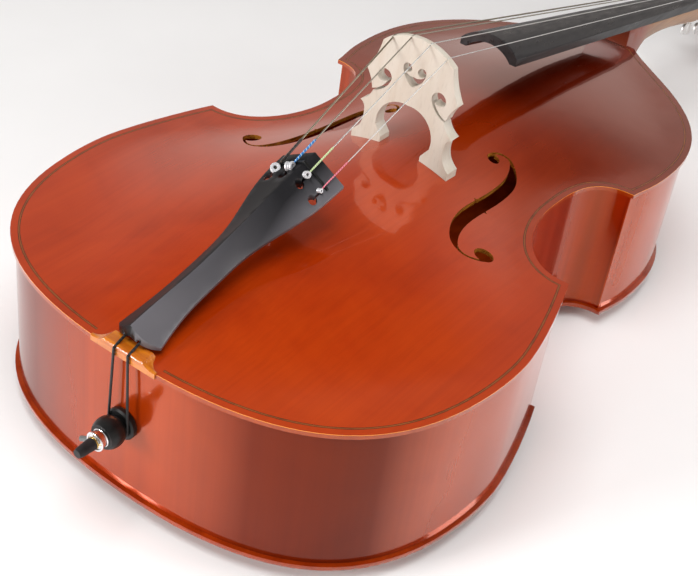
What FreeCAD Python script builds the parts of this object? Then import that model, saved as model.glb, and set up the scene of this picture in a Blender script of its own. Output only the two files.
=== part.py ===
import FreeCAD, Part
import math
import os

# Double bass, built lying on its back: X to the treble side, Y from the endpin to the scroll,
# Z out of the top.  Millimetres.  Drawn with Y = 0 at the bottom of the body and Z = 0 at the
# middle of the top's edge, then moved as one into the row frame by FRAME_SHIFT.

V = FreeCAD.Vector
FRAME_SHIFT = V(0, -875.18, 221.0)

# body
BODY_LENGTH = 1110.0
LOWER_HALF, LOWER_Y = 322.5, 284.0
WAIST_HALF, WAIST_Y = 182.5, 596.0
UPPER_HALF, UPPER_Y = 260.0, 806.0
LOWER_CORNER = (282.0, 463.0)
UPPER_CORNER = (248.0, 706.0)
SHOULDER_HALF = 45.0            # half width of the flat where the neck meets the body
PLATE = 6.0                     # thickness of top and back
TOP_FACE, BACK_SEAT = 3.0, -195.0   # top's margin face, and the seat of the ribs on the back
GLUE = 0.05                     # glue line between the ribs and each plate
RIB_TOP, RIB_BOTTOM = TOP_FACE - PLATE - GLUE, BACK_SEAT + GLUE
BACK_FACE = BACK_SEAT - PLATE
OVERHANG, RIB = 5.5, 3.0        # plate edge beyond the ribs, rib thickness
TOP_RISE, BACK_RISE = 43.0, 20.0
LINING_W, LINING_H = 8.0, 15.0
PURFLING_IN, PURFLING_W, PURFLING_DEEP = 8.5, 2.8, 1.5
PURFLING_LINE = 0.8             # each dark line; the pale core fills what is between them

# strings: name, X at bridge, X at nut, radius, X on its post
STRINGS = [("e", -40.0, -16.0, 1.10, -9.0), ("a", -13.9, -5.2, 0.90, -5.0),
           ("d", 13.9, 5.2, 0.72, 5.0), ("g", 40.0, 16.0, 0.58, 11.5)]
BRIDGE_Y, BRIDGE_TOP, BRIDGE_R = 512.0, 199.0, 80.0
BRIDGE_FOOT_THICK, BRIDGE_TOP_THICK = 25.0, 8.0

# fingerboard and neck
BOARD_Y, NUT_Y = 692.0, 1545.0
BOARD_END = dict(half=44.5, low=115.5, side=126.0, crown=146.0)
BOARD_NUT = dict(half=21.5, low=-57.0, side=-42.0, crown=-37.0)
BOARD_SLOPE = (BOARD_END["low"] - BOARD_NUT["low"]) / (NUT_Y - BOARD_Y)
HEAD_ANGLE = math.degrees(math.atan(BOARD_SLOPE)) + 5.0

# pegbox, scroll and machine heads, measured along the head from the nut
CHEEK_HALF, SLOT_HALF = 29.0, 16.0
SLOT_START, SLOT_END, SLOT_FLOOR = 10.0, 168.0, -33.0
SCROLL_S, SCROLL_N, SCROLL_R = 240.0, -22.0, 52.0
POST_R, POST_N, RUN_FIT = 5.0, -16.0, 0.07
MACHINES = [("e", -1, 40.0), ("g", 1, 72.0), ("a", -1, 112.0), ("d", 1, 144.0)]
GEAR_TEETH, GEAR_TIP, GEAR_ROOT, GEAR_W = 20, 15.6, 12.6, 3.5
WORM_TIP, WORM_CORE, WORM_LEAD, GEAR_GAP = 6.4, 3.4, 4.5, 19.4
PLATE_T, GEAR_X = 3.0, 36.0     # machine plate thickness, gear's middle plane

# endpin
PIN_Z, PIN_R, PLUG_BORE = -96.0, 5.0, 5.06
BALL_Y, BALL_R = -18.0, 19.0


def bezier(points):
    curve = Part.BezierCurve()
    curve.setPoles([V(x, y, 0) for x, y in points])
    return curve


def spline(points):
    curve = Part.BSplineCurve()
    curve.interpolate([V(*p) for p in points])
    return curve.toShape()


# right half of the body outline as three smooth runs with a corner between each pair
LOWER_RUN = [bezier([(0, 0), (190, 0), (LOWER_HALF, LOWER_Y - 226), (LOWER_HALF, LOWER_Y)]),
             bezier([(LOWER_HALF, LOWER_Y), (LOWER_HALF, LOWER_Y + 44), (297, 420),
                     LOWER_CORNER])]
WAIST_RUN = [bezier([LOWER_CORNER, (217, 455), (WAIST_HALF, WAIST_Y - 64),
                     (WAIST_HALF, WAIST_Y)]),
             bezier([(WAIST_HALF, WAIST_Y), (WAIST_HALF, WAIST_Y + 60), (188, 707),
                     UPPER_CORNER])]
UPPER_RUN = [bezier([UPPER_CORNER, (252, 737), (UPPER_HALF, UPPER_Y - 64),
                     (UPPER_HALF, UPPER_Y)]),
             bezier([(UPPER_HALF, UPPER_Y), (UPPER_HALF, UPPER_Y + 180), (104, 1043),
                     (SHOULDER_HALF, BODY_LENGTH)])]


def shifted_run(curves, inset, steps=40):
    """Points of a smooth run moved inwards by inset."""
    points = []
    for curve in curves:
        for i in range(steps + 1):
            if points and i == 0:
                continue
            p, t = curve.value(i / steps), curve.tangent(i / steps)[0]
            points.append((p.x - inset * t.y, p.y + inset * t.x))
    return points


def crossing(first, second):
    """Where two polylines cross: the point and both segment numbers."""
    best = None
    for i in range(len(first) - 1):
        for j in range(len(second) - 1):
            (ax, ay), (bx, by) = first[i], first[i + 1]
            (cx, cy), (dx, dy) = second[j], second[j + 1]
            det = (bx - ax) * (dy - cy) - (by - ay) * (dx - cx)
            if abs(det) < 1e-9:
                continue
            s = ((cx - ax) * (dy - cy) - (cy - ay) * (dx - cx)) / det
            t = ((cx - ax) * (by - ay) - (cy - ay) * (bx - ax)) / det
            if -1e-6 <= s <= 1 + 1e-6 and -1e-6 <= t <= 1 + 1e-6:
                best = ((ax + s * (bx - ax), ay + s * (by - ay)), i, j)
    return best


def body_wire(inset):
    """The body outline moved inwards by inset, as a closed wire."""
    flat = BODY_LENGTH - inset
    runs = [shifted_run(r, inset) for r in (LOWER_RUN, WAIST_RUN, UPPER_RUN)]
    if inset > 0:
        runs.append([(60.0, flat), (0.0, flat)])
        for k in range(3):
            point, i, j = crossing(runs[k], runs[k + 1])
            runs[k] = runs[k][:i + 1] + [point]
            runs[k + 1] = [point] + runs[k + 1][j + 1:]
        runs = runs[:3]
    edges = []
    for run in runs:
        keep = run[0:-1:4] + [run[-1]]
        if math.dist(keep[-1], keep[-2]) < 2:
            del keep[-2]
        edges.append(spline([(x, y, 0) for x, y in keep]))
    end = runs[2][-1]
    edges.append(Part.makeLine(V(end[0], end[1], 0), V(-end[0], end[1], 0)))
    mirror = [e.mirror(V(0, 0, 0), V(1, 0, 0)) for e in edges[:3]]
    return Part.Wire(Part.__sortEdges__(edges + mirror))


def body_prism(inset, z0, z1):
    face = Part.Face(body_wire(inset))
    face.translate(V(0, 0, z0))
    return face.extrude(V(0, 0, z1 - z0))


def ring(inset, width, z0, z1):
    return body_prism(inset, z0, z1).cut(body_prism(inset + width, z0 - 1, z1 + 1))


def box(x0, x1, y0, y1, z0, z1):
    return Part.makeBox(x1 - x0, y1 - y0, z1 - z0, V(x0, y0, z0))


def prism_z(points, z0, z1):
    wire = Part.makePolygon([V(x, y, z0) for x, y in points + points[:1]])
    return Part.Face(wire).extrude(V(0, 0, z1 - z0))


def prism_y(points, y0, y1):
    wire = Part.makePolygon([V(x, y0, z) for x, z in points + points[:1]])
    return Part.Face(wire).extrude(V(0, y1 - y0, 0))


def rod(start, end, radius, end_radius=None):
    start, end = V(*start), V(*end)
    if end_radius is None or end_radius == radius:
        return Part.makeCylinder(radius, (end - start).Length, start, end - start)
    return Part.makeCone(radius, end_radius, (end - start).Length, start, end - start)


def cable(points, radius):
    """A round cable through points, with a slightly larger ball at each bend."""
    solid = rod(points[0], points[1], radius)
    for a, b in zip(points[1:], points[2:]):
        solid = solid.fuse([Part.makeSphere(1.04 * radius, V(*a)), rod(a, b, radius)])
    return solid


def both_sides(shape):
    return [shape, shape.mirror(V(0, 0, 0), V(1, 0, 0))]


# ---------------------------------------------------------------- arched plates
def blend(y, stops):
    """Smooth curve through (y, value) stops."""
    if y <= stops[0][0]:
        return stops[0][1]
    for (y0, v0), (y1, v1) in zip(stops, stops[1:]):
        if y <= y1:
            return v0 + (v1 - v0) * (1 - math.cos(math.pi * (y - y0) / (y1 - y0))) / 2
    return stops[-1][1]


def arch(x, y):
    """Arching height as a share of its full rise."""
    half = blend(y, [(0, 140), (LOWER_Y, LOWER_HALF - 22), (WAIST_Y, WAIST_HALF - 18),
                     (UPPER_Y, UPPER_HALF - 22), (BODY_LENGTH, 90)])
    along = abs((y - 555.0) / 535.0)
    across = abs(x) / half
    if along >= 1 or across >= 1:
        return 0.0
    return (1 - along ** 2.8) ** 1.3 * (1 - across ** 2) ** 2


def arched_sheet(rise, base, thickness):
    """A sheet that follows the arching, its upper face at base on the flat margin."""
    columns, rows = 48, 72
    grid = [[V(-348 + 696.0 * i / columns, -18 + 1146.0 * j / rows, 0)
             for j in range(rows + 1)] for i in range(columns + 1)]
    for line in grid:
        for p in line:
            p.z = base + rise * arch(p.x, p.y)
    surface = Part.BSplineSurface()
    surface.interpolate(grid)
    return surface.toShape().extrude(V(0, 0, -thickness))


# centre line and width of the right f-hole's stroke, from the upper eye to the lower
UPPER_EYE, UPPER_EYE_R = (83.0, 604.5), 8.5
LOWER_EYE, LOWER_EYE_R = (182.0, 427.0), 12.5
F_STROKE = [(76.5, 606.0, 3.5), (79.5, 615.5, 3.5), (87.0, 623.0, 3.2), (96.5, 625.0, 3.2),
            (106.0, 618.5, 7.0), (113.5, 608.0, 11.5), (119.5, 594.0, 15.5),
            (123.5, 570.0, 18.0), (125.0, 535.0, 19.0), (125.0, 500.0, 19.5),
            (126.3, 470.0, 19.0), (130.5, 446.0, 16.5), (137.5, 426.0, 13.0),
            (147.0, 411.5, 9.0), (157.0, 404.5, 4.5), (167.0, 403.2, 3.2),
            (178.0, 408.0, 3.2), (188.5, 417.5, 3.2)]


def f_hole():
    left, right = [], []
    for i, (x, y, width) in enumerate(F_STROKE):
        a = F_STROKE[max(i - 1, 0)]
        b = F_STROKE[min(i + 1, len(F_STROKE) - 1)]
        dx, dy = b[0] - a[0], b[1] - a[1]
        size = math.hypot(dx, dy) / (width / 2)
        left.append((x - dy / size, y + dx / size, -60))
        right.append((x + dy / size, y - dx / size, -60))
    wire = Part.Wire([spline(left), Part.makeLine(V(*left[-1]), V(*right[-1])),
                      spline(right[::-1]), Part.makeLine(V(*right[0]), V(*left[0]))])
    stroke = Part.Face(wire).extrude(V(0, 0, 160))
    nick = prism_z([(111.5, 512.0), (118.0, 516.0), (118.0, 508.0)], -60, 100)
    nick_out = prism_z([(138.5, 504.0), (132.0, 508.0), (132.0, 500.0)], -60, 100)
    eyes = [rod((x, y, -60), (x, y, 100), r) for (x, y), r in
            ((UPPER_EYE, UPPER_EYE_R), (LOWER_EYE, LOWER_EYE_R))]
    return stroke.fuse(eyes + [nick, nick_out])


outline = body_prism(0, -90, 120)
top = arched_sheet(TOP_RISE, TOP_FACE, PLATE).common(outline)
top = top.cut(both_sides(f_hole()))
back_outline = body_prism(0, -290, -150).fuse(
    rod((0, BODY_LENGTH - 2, -290), (0, BODY_LENGTH - 2, -150), 30.0))
back = arched_sheet(-BACK_RISE, BACK_SEAT, PLATE).common(back_outline)

# saddle let into the top's edge, with hollowed ends
saddle_profile = [V(-46, 0, -8), V(-46, 0, 4), V(-27, 0, 10), V(27, 0, 10), V(46, 0, 4),
                  V(46, 0, -8)]
saddle_edges = [Part.makeLine(saddle_profile[0], saddle_profile[1]),
                Part.Arc(saddle_profile[1], V(-34, 0, 5.2), saddle_profile[2]).toShape(),
                Part.makeLine(saddle_profile[2], saddle_profile[3]),
                Part.Arc(saddle_profile[3], V(34, 0, 5.2), saddle_profile[4]).toShape(),
                Part.makeLine(saddle_profile[4], saddle_profile[5]),
                Part.makeLine(saddle_profile[5], saddle_profile[0])]
saddle_face = Part.Face(Part.Wire(saddle_edges))
saddle_face.translate(V(0, -0.8, 0))
saddle = saddle_face.extrude(V(0, 18.8, 0))
for x in (-50.0, 50.0):
    saddle = saddle.cut(rod((x, 24.0, -10), (x, 24.0, 20), 21.0))
brow = [e for e in saddle.Edges if abs(e.BoundBox.ZMin - 10) < 0.01 and e.BoundBox.XLength > 50
        and e.BoundBox.YMax < 0]
saddle = saddle.makeFillet(3.0, brow)
top = top.cut(saddle)
saddle = saddle.cut(box(-60, 60, -10, 40, -20, RIB_TOP))


def purfling(layer, z0, z1):
    """The groove let into a plate's edge, the dark lines in it and the pale core."""
    groove = ring(PURFLING_IN, PURFLING_W, z0, z1).common(layer)
    core = ring(PURFLING_IN + PURFLING_LINE, PURFLING_W - 2 * PURFLING_LINE, z0 - 1, z1 + 1)
    return groove, groove.cut(core), groove.common(core)


saddle_gap = box(-48, 48, -5, 22, -20, 20)
groove, purfling_top, core_top = purfling(arched_sheet(TOP_RISE, TOP_FACE, PLATE),
                                          TOP_FACE - PURFLING_DEEP, TOP_FACE + 1)
top = top.cut(groove.cut(saddle_gap))
purfling_top, core_top = purfling_top.cut(saddle_gap), core_top.cut(saddle_gap)
groove, purfling_back, core_back = purfling(arched_sheet(-BACK_RISE, BACK_SEAT, PLATE),
                                            BACK_FACE - 1, BACK_FACE + PURFLING_DEEP)
back = back.cut(groove)

# ---------------------------------------------------------------- ribs, blocks and linings
LC, UC = LOWER_CORNER, UPPER_CORNER
ZONES = {"lower": [(0, -20), (400, -20), (400, LC[1]), LC, (LC[0] - 53, LC[1] - 85),
                   (0, LC[1] - 85)],
         "middle": [(400, LC[1]), (400, UC[1]), UC, (UC[0] - 66, UC[1] + 75),
                    (0, UC[1] + 75), (0, LC[1] - 85), (LC[0] - 53, LC[1] - 85), LC],
         "upper": [(400, UC[1]), (400, 1200), (0, 1200), (0, UC[1] + 75),
                   (UC[0] - 66, UC[1] + 75), UC]}
rib_ring = ring(OVERHANG, RIB, RIB_BOTTOM, RIB_TOP)
pin_hole = rod((0, -40, PIN_Z), (0, 60, PIN_Z), 14.0)
ribs = {}
for zone, corners in ZONES.items():
    piece = rib_ring.common(prism_z(corners, -230, 30))
    if zone == "lower":
        piece = piece.cut(pin_hole)
    ribs[zone + "_rib_treble"] = piece
    ribs[zone + "_rib_bass"] = piece.mirror(V(0, 0, 0), V(1, 0, 0))

inside = body_prism(OVERHANG + RIB, RIB_BOTTOM, RIB_TOP)
end_block = inside.common(box(-62, 62, 0, 48, RIB_BOTTOM, RIB_TOP)).cut(pin_hole)
neck_block = inside.common(box(-58, 58, 1036, 1110, RIB_BOTTOM, RIB_TOP))
corner_blocks = [inside.common(rod((x, y, RIB_BOTTOM), (x, y, RIB_TOP), 44.0))
                 for x0, y in (LC, UC) for x in (x0, -x0)]
blocks = [end_block, neck_block] + corner_blocks
lining_top = ring(OVERHANG + RIB, LINING_W, RIB_TOP - LINING_H, RIB_TOP).cut(blocks)
lining_back = ring(OVERHANG + RIB, LINING_W, RIB_BOTTOM, RIB_BOTTOM + LINING_H).cut(blocks)

bass_bar = arched_sheet(TOP_RISE, TOP_FACE - PLATE, 24.0).common(box(-43, -33, 230, 880, -60, 60))
sound_post = rod((40, 482, -240), (40, 482, 80), 9.0).cut([top, back])
sound_post = max(sound_post.Solids, key=lambda s: s.Volume)

# ---------------------------------------------------------------- neck, fingerboard and nut
def board_low(y):
    return BOARD_END["low"] - BOARD_SLOPE * (y - BOARD_Y)


def board_section(y, half, low, side, crown):
    p = [V(-half, y, low), V(-half, y, side), V(0, y, crown), V(half, y, side),
         V(half, y, low)]
    return Part.Wire([Part.makeLine(p[0], p[1]), Part.Arc(p[1], p[2], p[3]).toShape(),
                      Part.makeLine(p[3], p[4]), Part.makeLine(p[4], p[0])])


def hollow_section(y, share):
    """Underside hollow of the free end of the board; share fades it out."""
    t = (y - BOARD_Y) / (NUT_Y - BOARD_Y)
    half = (BOARD_END["half"] + t * (BOARD_NUT["half"] - BOARD_END["half"])) - 9.0
    low = board_low(y) - 1.0
    a, b, c = V(-half, y, low), V(0, y, low + 1.0 + 17.0 * share), V(half, y, low)
    return Part.Wire([Part.Arc(a, b, c).toShape(), Part.makeLine(c, a)])


fingerboard = Part.makeLoft([board_section(BOARD_Y, **BOARD_END),
                             board_section(NUT_Y, **BOARD_NUT)], True, True)
fingerboard = fingerboard.cut(Part.makeLoft([hollow_section(BOARD_Y - 1, 1.0),
                                             hollow_section(1150.0, 0.35)], True, True))

NECK_SECTIONS = [(BODY_LENGTH - OVERHANG, 33.4, RIB_BOTTOM), (1124.0, 33.0, RIB_BOTTOM),
                 (1140.0, 32.6, -172.0), (1158.0, 32.0, -112.0), (1178.0, 31.4, -66.0),
                 (1205.0, 30.7, -37.0), (1250.0, 29.5, -36.0), (1400.0, 25.4, -63.0),
                 (NUT_Y, 22.0, -91.0)]


def neck_section(y, half, bottom):
    low = board_low(y)
    reach = (low - bottom) * 4.0 / 3.0
    curve = Part.BezierCurve()
    curve.setPoles([V(half, y, low), V(half, y, low - reach), V(-half, y, low - reach),
                    V(-half, y, low)])
    return Part.Wire([curve.toShape(), Part.makeLine(V(-half, y, low), V(half, y, low))])


# heel and grip are lofted separately so that neither bends the other's surface
heel = Part.makeLoft([neck_section(*s) for s in NECK_SECTIONS[:6]], True, False)
grip = Part.makeLoft([neck_section(*s) for s in NECK_SECTIONS[5:]], True, False)

HEAD = FreeCAD.Placement(V(0, NUT_Y, BOARD_NUT["low"]),
                         FreeCAD.Rotation(V(1, 0, 0), -HEAD_ANGLE))


def in_head(shape):
    """Move a shape from the head's own frame (x, along, up) into the drawing frame."""
    moved = shape.copy()
    moved.Placement = HEAD.multiply(moved.Placement)
    return moved


# pegbox: side profile times plan
side = Part.Wire([Part.makeLine(V(0, -6, 12), V(0, 172, 4)),
                  Part.Arc(V(0, 172, 4), V(0, 205, 8), V(0, 236, 26)).toShape(),
                  Part.makeLine(V(0, 236, 26), V(0, 236, -70)),
                  Part.Arc(V(0, 236, -70), V(0, 205, -62), V(0, 176, -50)).toShape(),
                  Part.Arc(V(0, 176, -50), V(0, 90, -50), V(0, 14, -42)).toShape(),
                  Part.Arc(V(0, 14, -42), V(0, 0, -37), V(0, -14, -30)).toShape(),
                  Part.makeLine(V(0, -14, -30), V(0, -6, 12))])
side_face = Part.Face(side)
side_face.translate(V(-60, 0, 0))
plan_half = [(-16, 20.5), (-6, 21.5), (8, 25.0), (22, CHEEK_HALF), (182, CHEEK_HALF),
             (204, 24.0), (240, 22.0)]
plan = [(x, s) for s, x in plan_half] + [(-x, s) for s, x in plan_half[::-1]]
pegbox = side_face.extrude(V(120, 0, 0)).common(prism_z(plan, -90, 60))
slot = prism_z([(-13.5, SLOT_START), (13.5, SLOT_START), (SLOT_HALF, SLOT_START + 14),
                (SLOT_HALF, SLOT_END - 10), (12, SLOT_END), (-12, SLOT_END),
                (-SLOT_HALF, SLOT_END - 10), (-SLOT_HALF, SLOT_START + 14)], SLOT_FLOOR, 60)
pegbox = pegbox.cut(slot)


def volute(start, turns_in, half_width):
    """One turn of the scroll as a disc whose edge is a spiral."""
    shrink = 0.375 / (2 * math.pi)
    points = []
    for i in range(25):
        angle = 2 * math.pi * i / 24
        radius = SCROLL_R * math.exp(-shrink * (angle + 2 * math.pi * turns_in))
        points.append((-half_width, SCROLL_S + radius * math.cos(start + angle),
                       SCROLL_N + radius * math.sin(start + angle)))
    wire = Part.Wire([spline(points), Part.makeLine(V(*points[-1]), V(*points[0]))])
    return Part.Face(wire).extrude(V(2 * half_width, 0, 0))


START = math.radians(-95)
scroll = volute(START, 0, 22.0).fuse([volute(START, 1, 31.0), volute(START, 2, 39.0),
                                      rod((-44, SCROLL_S, SCROLL_N),
                                          (44, SCROLL_S, SCROLL_N), 13.0)])
head = pegbox.fuse(scroll)

# ---------------------------------------------------------------- machine heads
def machine(side_sign, post_s):
    """Plate, gear post, worm key and the holes they need, in the head's frame."""
    def at(x, s, n):
        return (side_sign * x, post_s + s, POST_N + n)

    holes = [rod(at(-24.5, 0, 0), at(CHEEK_HALF + 12, 0, 0), POST_R + RUN_FIT)]
    plate = prism_z([at(CHEEK_HALF, -15, 0)[:2], at(CHEEK_HALF + PLATE_T, -15, 0)[:2],
                     at(CHEEK_HALF + PLATE_T, 29, 0)[:2], at(CHEEK_HALF, 29, 0)[:2]],
                    POST_N - 17, POST_N + 17)
    lugs = []
    for n0, n1 in ((-16.5, -12.0), (12.0, 16.5)):
        x0, x1 = sorted((side_sign * (CHEEK_HALF + PLATE_T), side_sign * (GEAR_X + 5)))
        lugs.append(box(x0, x1, post_s + GEAR_GAP - 5.5, post_s + GEAR_GAP + 5.5,
                        POST_N + n0, POST_N + n1))
    bearing = rod(at(GEAR_X, GEAR_GAP, -20), at(GEAR_X, GEAR_GAP, 16.4), 3.0 + RUN_FIT)
    relief = rod(at(GEAR_X, GEAR_GAP, -11.99), at(GEAR_X, GEAR_GAP, 11.99), WORM_TIP + 0.5)
    plate = plate.fuse(lugs).cut([bearing, relief] + holes)

    post = rod(at(-24, 0, 0), at(GEAR_X + 2.5, 0, 0), POST_R)
    disc = rod(at(GEAR_X - GEAR_W / 2, 0, 0), at(GEAR_X + GEAR_W / 2, 0, 0), GEAR_ROOT)
    teeth = []
    for k in range(GEAR_TEETH):
        tooth = prism_y([(-GEAR_W / 2, GEAR_ROOT - 0.6), (GEAR_W / 2, GEAR_ROOT - 0.6),
                         (GEAR_W / 2, GEAR_TIP), (-GEAR_W / 2, GEAR_TIP)], -1.35, 1.35)
        slant = [prism_z([(-9, 0.55), (9, 0.55), (9, 4), (-9, 4)], 0, 30)]
        slant[0].rotate(V(0, 0.55, GEAR_TIP), V(1, 0, 0), 14)
        slant.append(slant[0].mirror(V(0, 0, 0), V(0, 1, 0)))
        tooth = tooth.cut(slant)
        tooth.rotate(V(0, 0, 0), V(1, 0, 0), 360.0 * (k + 0.5) / GEAR_TEETH + 90)
        tooth.translate(V(*at(GEAR_X, 0, 0)))
        teeth.append(tooth)
    hub = rod(at(GEAR_X + GEAR_W / 2, 0, 0), at(GEAR_X + 5.5, 0, 0), 6.5, 5.0)
    hub = hub.cut(box(-60, 60, post_s - 0.6, post_s + 0.6, POST_N - 7, POST_N + 7).common(
        rod(at(GEAR_X + 4, 0, 0), at(GEAR_X + 8, 0, 0), 9.0)))
    post = post.fuse([disc, hub] + teeth)
    string_hole = rod(at(0, -9, 0), at(0, 9, 0), 1.6)
    post = post.cut(string_hole)

    shaft = rod(at(GEAR_X, GEAR_GAP, -46), at(GEAR_X, GEAR_GAP, 15.8), 3.0)
    core = rod(at(GEAR_X, GEAR_GAP, -11.6), at(GEAR_X, GEAR_GAP, 11.6), WORM_CORE)
    helix = Part.makeHelix(WORM_LEAD, 4 * WORM_LEAD, WORM_CORE)
    profile = Part.makePolygon([V(WORM_CORE - 0.5, 0, -1.25), V(WORM_TIP, 0, -0.45),
                                V(WORM_TIP, 0, 0.45), V(WORM_CORE - 0.5, 0, 1.25),
                                V(WORM_CORE - 0.5, 0, -1.25)])
    thread = Part.Wire(helix.Edges).makePipeShell([profile], True, True)
    thread.rotate(V(0, 0, 0), V(0, 0, 1), -90)
    thread.translate(V(*at(GEAR_X, GEAR_GAP, -2 * WORM_LEAD)))
    thread = Part.makeSolid(thread) if thread.ShapeType != "Solid" else thread
    collar = rod(at(GEAR_X, GEAR_GAP, -19.5), at(GEAR_X, GEAR_GAP, -17), 4.6)
    stem = rod(at(GEAR_X, GEAR_GAP, -46), at(GEAR_X, GEAR_GAP, -38), 4.0, 3.0)
    # butterfly handle: two lobes with a waist on the shaft's line
    wing = []
    for lobe in (-11.0, 11.0):
        wing.append(rod(at(GEAR_X - 2.2, GEAR_GAP + lobe, -58), at(GEAR_X + 2.2, GEAR_GAP + lobe,
                                                                  -58), 11.5))
    waist = [(-14, -50), (14, -50), (11, -66), (-11, -66)]
    web = Part.Face(Part.makePolygon([V(*at(GEAR_X - 2.2, GEAR_GAP + s, n))
                                      for s, n in waist + waist[:1]]))
    wing.append(web.extrude(V(side_sign * 4.4, 0, 0)))
    boss = rod(at(GEAR_X, GEAR_GAP, -62), at(GEAR_X, GEAR_GAP, -46), 3.2, 4.0)
    key = shaft.fuse([core, thread, collar, stem, boss] + wing)

    screws = []
    for s, n in ((-11, -13), (-11, 13), (8.5, -14.2), (8.5, 14.2)):
        shank = rod(at(CHEEK_HALF - 9, s, n), at(CHEEK_HALF + PLATE_T, s, n), 1.2)
        cap = Part.makeSphere(2.9, V(*at(CHEEK_HALF + PLATE_T - 1.6, s, n)))
        cap = cap.common(rod(at(CHEEK_HALF + PLATE_T, s, n), at(CHEEK_HALF + 8, s, n), 4))
        groove = box(-60, 60, post_s + s - 0.3, post_s + s + 0.3, POST_N + n - 4, POST_N + n + 4)
        groove = groove.common(rod(at(CHEEK_HALF + PLATE_T + 0.8, s, n),
                                   at(CHEEK_HALF + 8, s, n), 4))
        screws.append(shank.fuse(cap.cut(groove)))
        holes.append(shank)
    plate = plate.cut(screws)
    return plate, post, key, screws, holes


machines, all_screws, head_holes = {}, [], []
for name, side_sign, post_s in MACHINES:
    plate, post, key, screws, holes = machine(side_sign, post_s)
    machines["machine_%s_plate" % name] = in_head(plate)
    machines["machine_%s_gear_post" % name] = in_head(post)
    machines["machine_%s_worm_key" % name] = in_head(key)
    all_screws += [in_head(s) for s in screws]
    head_holes += holes
head = in_head(head.cut(head_holes))
neck = heel.fuse([grip, head]).removeSplitter()
nut_seat = box(-40, 40, NUT_Y, NUT_Y + 9, -62, 0)
neck = neck.cut([nut_seat, fingerboard, back])
top = top.cut(neck)

nut_half = BOARD_NUT["half"] + 0.3
nut_curve = [V(-nut_half, NUT_Y, -62), V(-nut_half, NUT_Y, -39), V(0, NUT_Y, -33.2),
             V(nut_half, NUT_Y, -39), V(nut_half, NUT_Y, -62)]
nut = Part.Face(Part.Wire([Part.makeLine(nut_curve[0], nut_curve[1]),
                           Part.Arc(*nut_curve[1:4]).toShape(),
                           Part.makeLine(nut_curve[3], nut_curve[4]),
                           Part.makeLine(nut_curve[4], nut_curve[0])]))
nut = nut.extrude(V(0, 9, 0))

# ---------------------------------------------------------------- tailpiece and its hardware
# y, half width, height of the edge, height of the ridge
TAIL_SECTIONS = [(10, 32, 9, 36), (26, 30, 14, 40), (65, 23.5, 27.5, 48.5), (110, 21, 40, 58),
                 (150, 21, 51, 70), (190, 25, 61.5, 83), (240, 37.5, 76, 101),
                 (275, 43.5, 86.5, 112), (310, 45, 96, 121)]
TAIL_RIM, TAIL_CORE, BAR_Y, BAR_W, BAR_H = 3.5, 15.0, 290.0, 3.2, 2.2
KEYHOLE_Y, BALL_END_Y = 268.0, 281.0


def tail_height(x, y):
    """Height of the tailpiece's upper face."""
    for a, b in zip(TAIL_SECTIONS, TAIL_SECTIONS[1:]):
        if y <= b[0]:
            t = (y - a[0]) / (b[0] - a[0])
            half, edge, ridge = [p + t * (q - p) for p, q in zip(a[1:], b[1:])]
            return ridge - (ridge - edge) * abs(x) / half


def tail_section(y, half, edge, ridge):
    points = [V(-half, y, edge), V(0, y, ridge), V(half, y, edge),
              V(half, y, edge - TAIL_RIM), V(0, y, ridge - TAIL_CORE),
              V(-half, y, edge - TAIL_RIM)]
    return Part.makePolygon(points + points[:1])


tailpiece = Part.makeLoft([tail_section(*s) for s in TAIL_SECTIONS], True, False)
round_end = Part.Face(Part.Wire([Part.Arc(V(-30, 26, -20), V(0, 11, -20),
                                          V(30, 26, -20)).toShape(),
                                 Part.makeLine(V(30, 26, -20), V(60, 60, -20)),
                                 Part.makeLine(V(60, 60, -20), V(60, 340, -20)),
                                 Part.makeLine(V(60, 340, -20), V(-60, 340, -20)),
                                 Part.makeLine(V(-60, 340, -20), V(-60, 60, -20)),
                                 Part.makeLine(V(-60, 60, -20), V(-30, 26, -20))]))
tailpiece = tailpiece.common(round_end.extrude(V(0, 0, 200)))
bar_points = [(x, tail_height(x, BAR_Y) + h) for h, xs in
              ((BAR_H, (-37, 0, 37)), (-2.0, (37, 0, -37))) for x in xs]
tail_bar = prism_y(bar_points, BAR_Y - BAR_W / 2, BAR_Y + BAR_W / 2)
keyholes = []
for name, x_bridge, x_nut, radius, x_post in STRINGS:
    x = math.copysign(12.2 if abs(x_bridge) < 20 else 32.5, x_bridge)
    keyholes.append(rod((x, KEYHOLE_Y, 0), (x, KEYHOLE_Y, 160), 5.5))
    keyholes.append(box(x - radius - 0.5, x + radius + 0.5, KEYHOLE_Y, KEYHOLE_Y + 15, 0, 160))
tailpiece = tailpiece.cut(keyholes + [tail_bar])
GUT_R, GUT_X = 1.5, 10.0
gut_top = tail_height(GUT_X, 30) - 8.5
for x in (-GUT_X, GUT_X):
    tailpiece = tailpiece.cut(rod((x, -5, gut_top - 9), (x, 44, gut_top + 3), 2.2))

# ---------------------------------------------------------------- endpin
def turned(profile):
    """Solid of revolution about the endpin's axis from (y, radius) points."""
    points = [V(0, y, PIN_Z + r) for y, r in profile]
    wire = Part.makePolygon(points + points[:1])
    return Part.Face(wire).revolve(V(0, 0, PIN_Z), V(0, 1, 0), 360)


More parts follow.
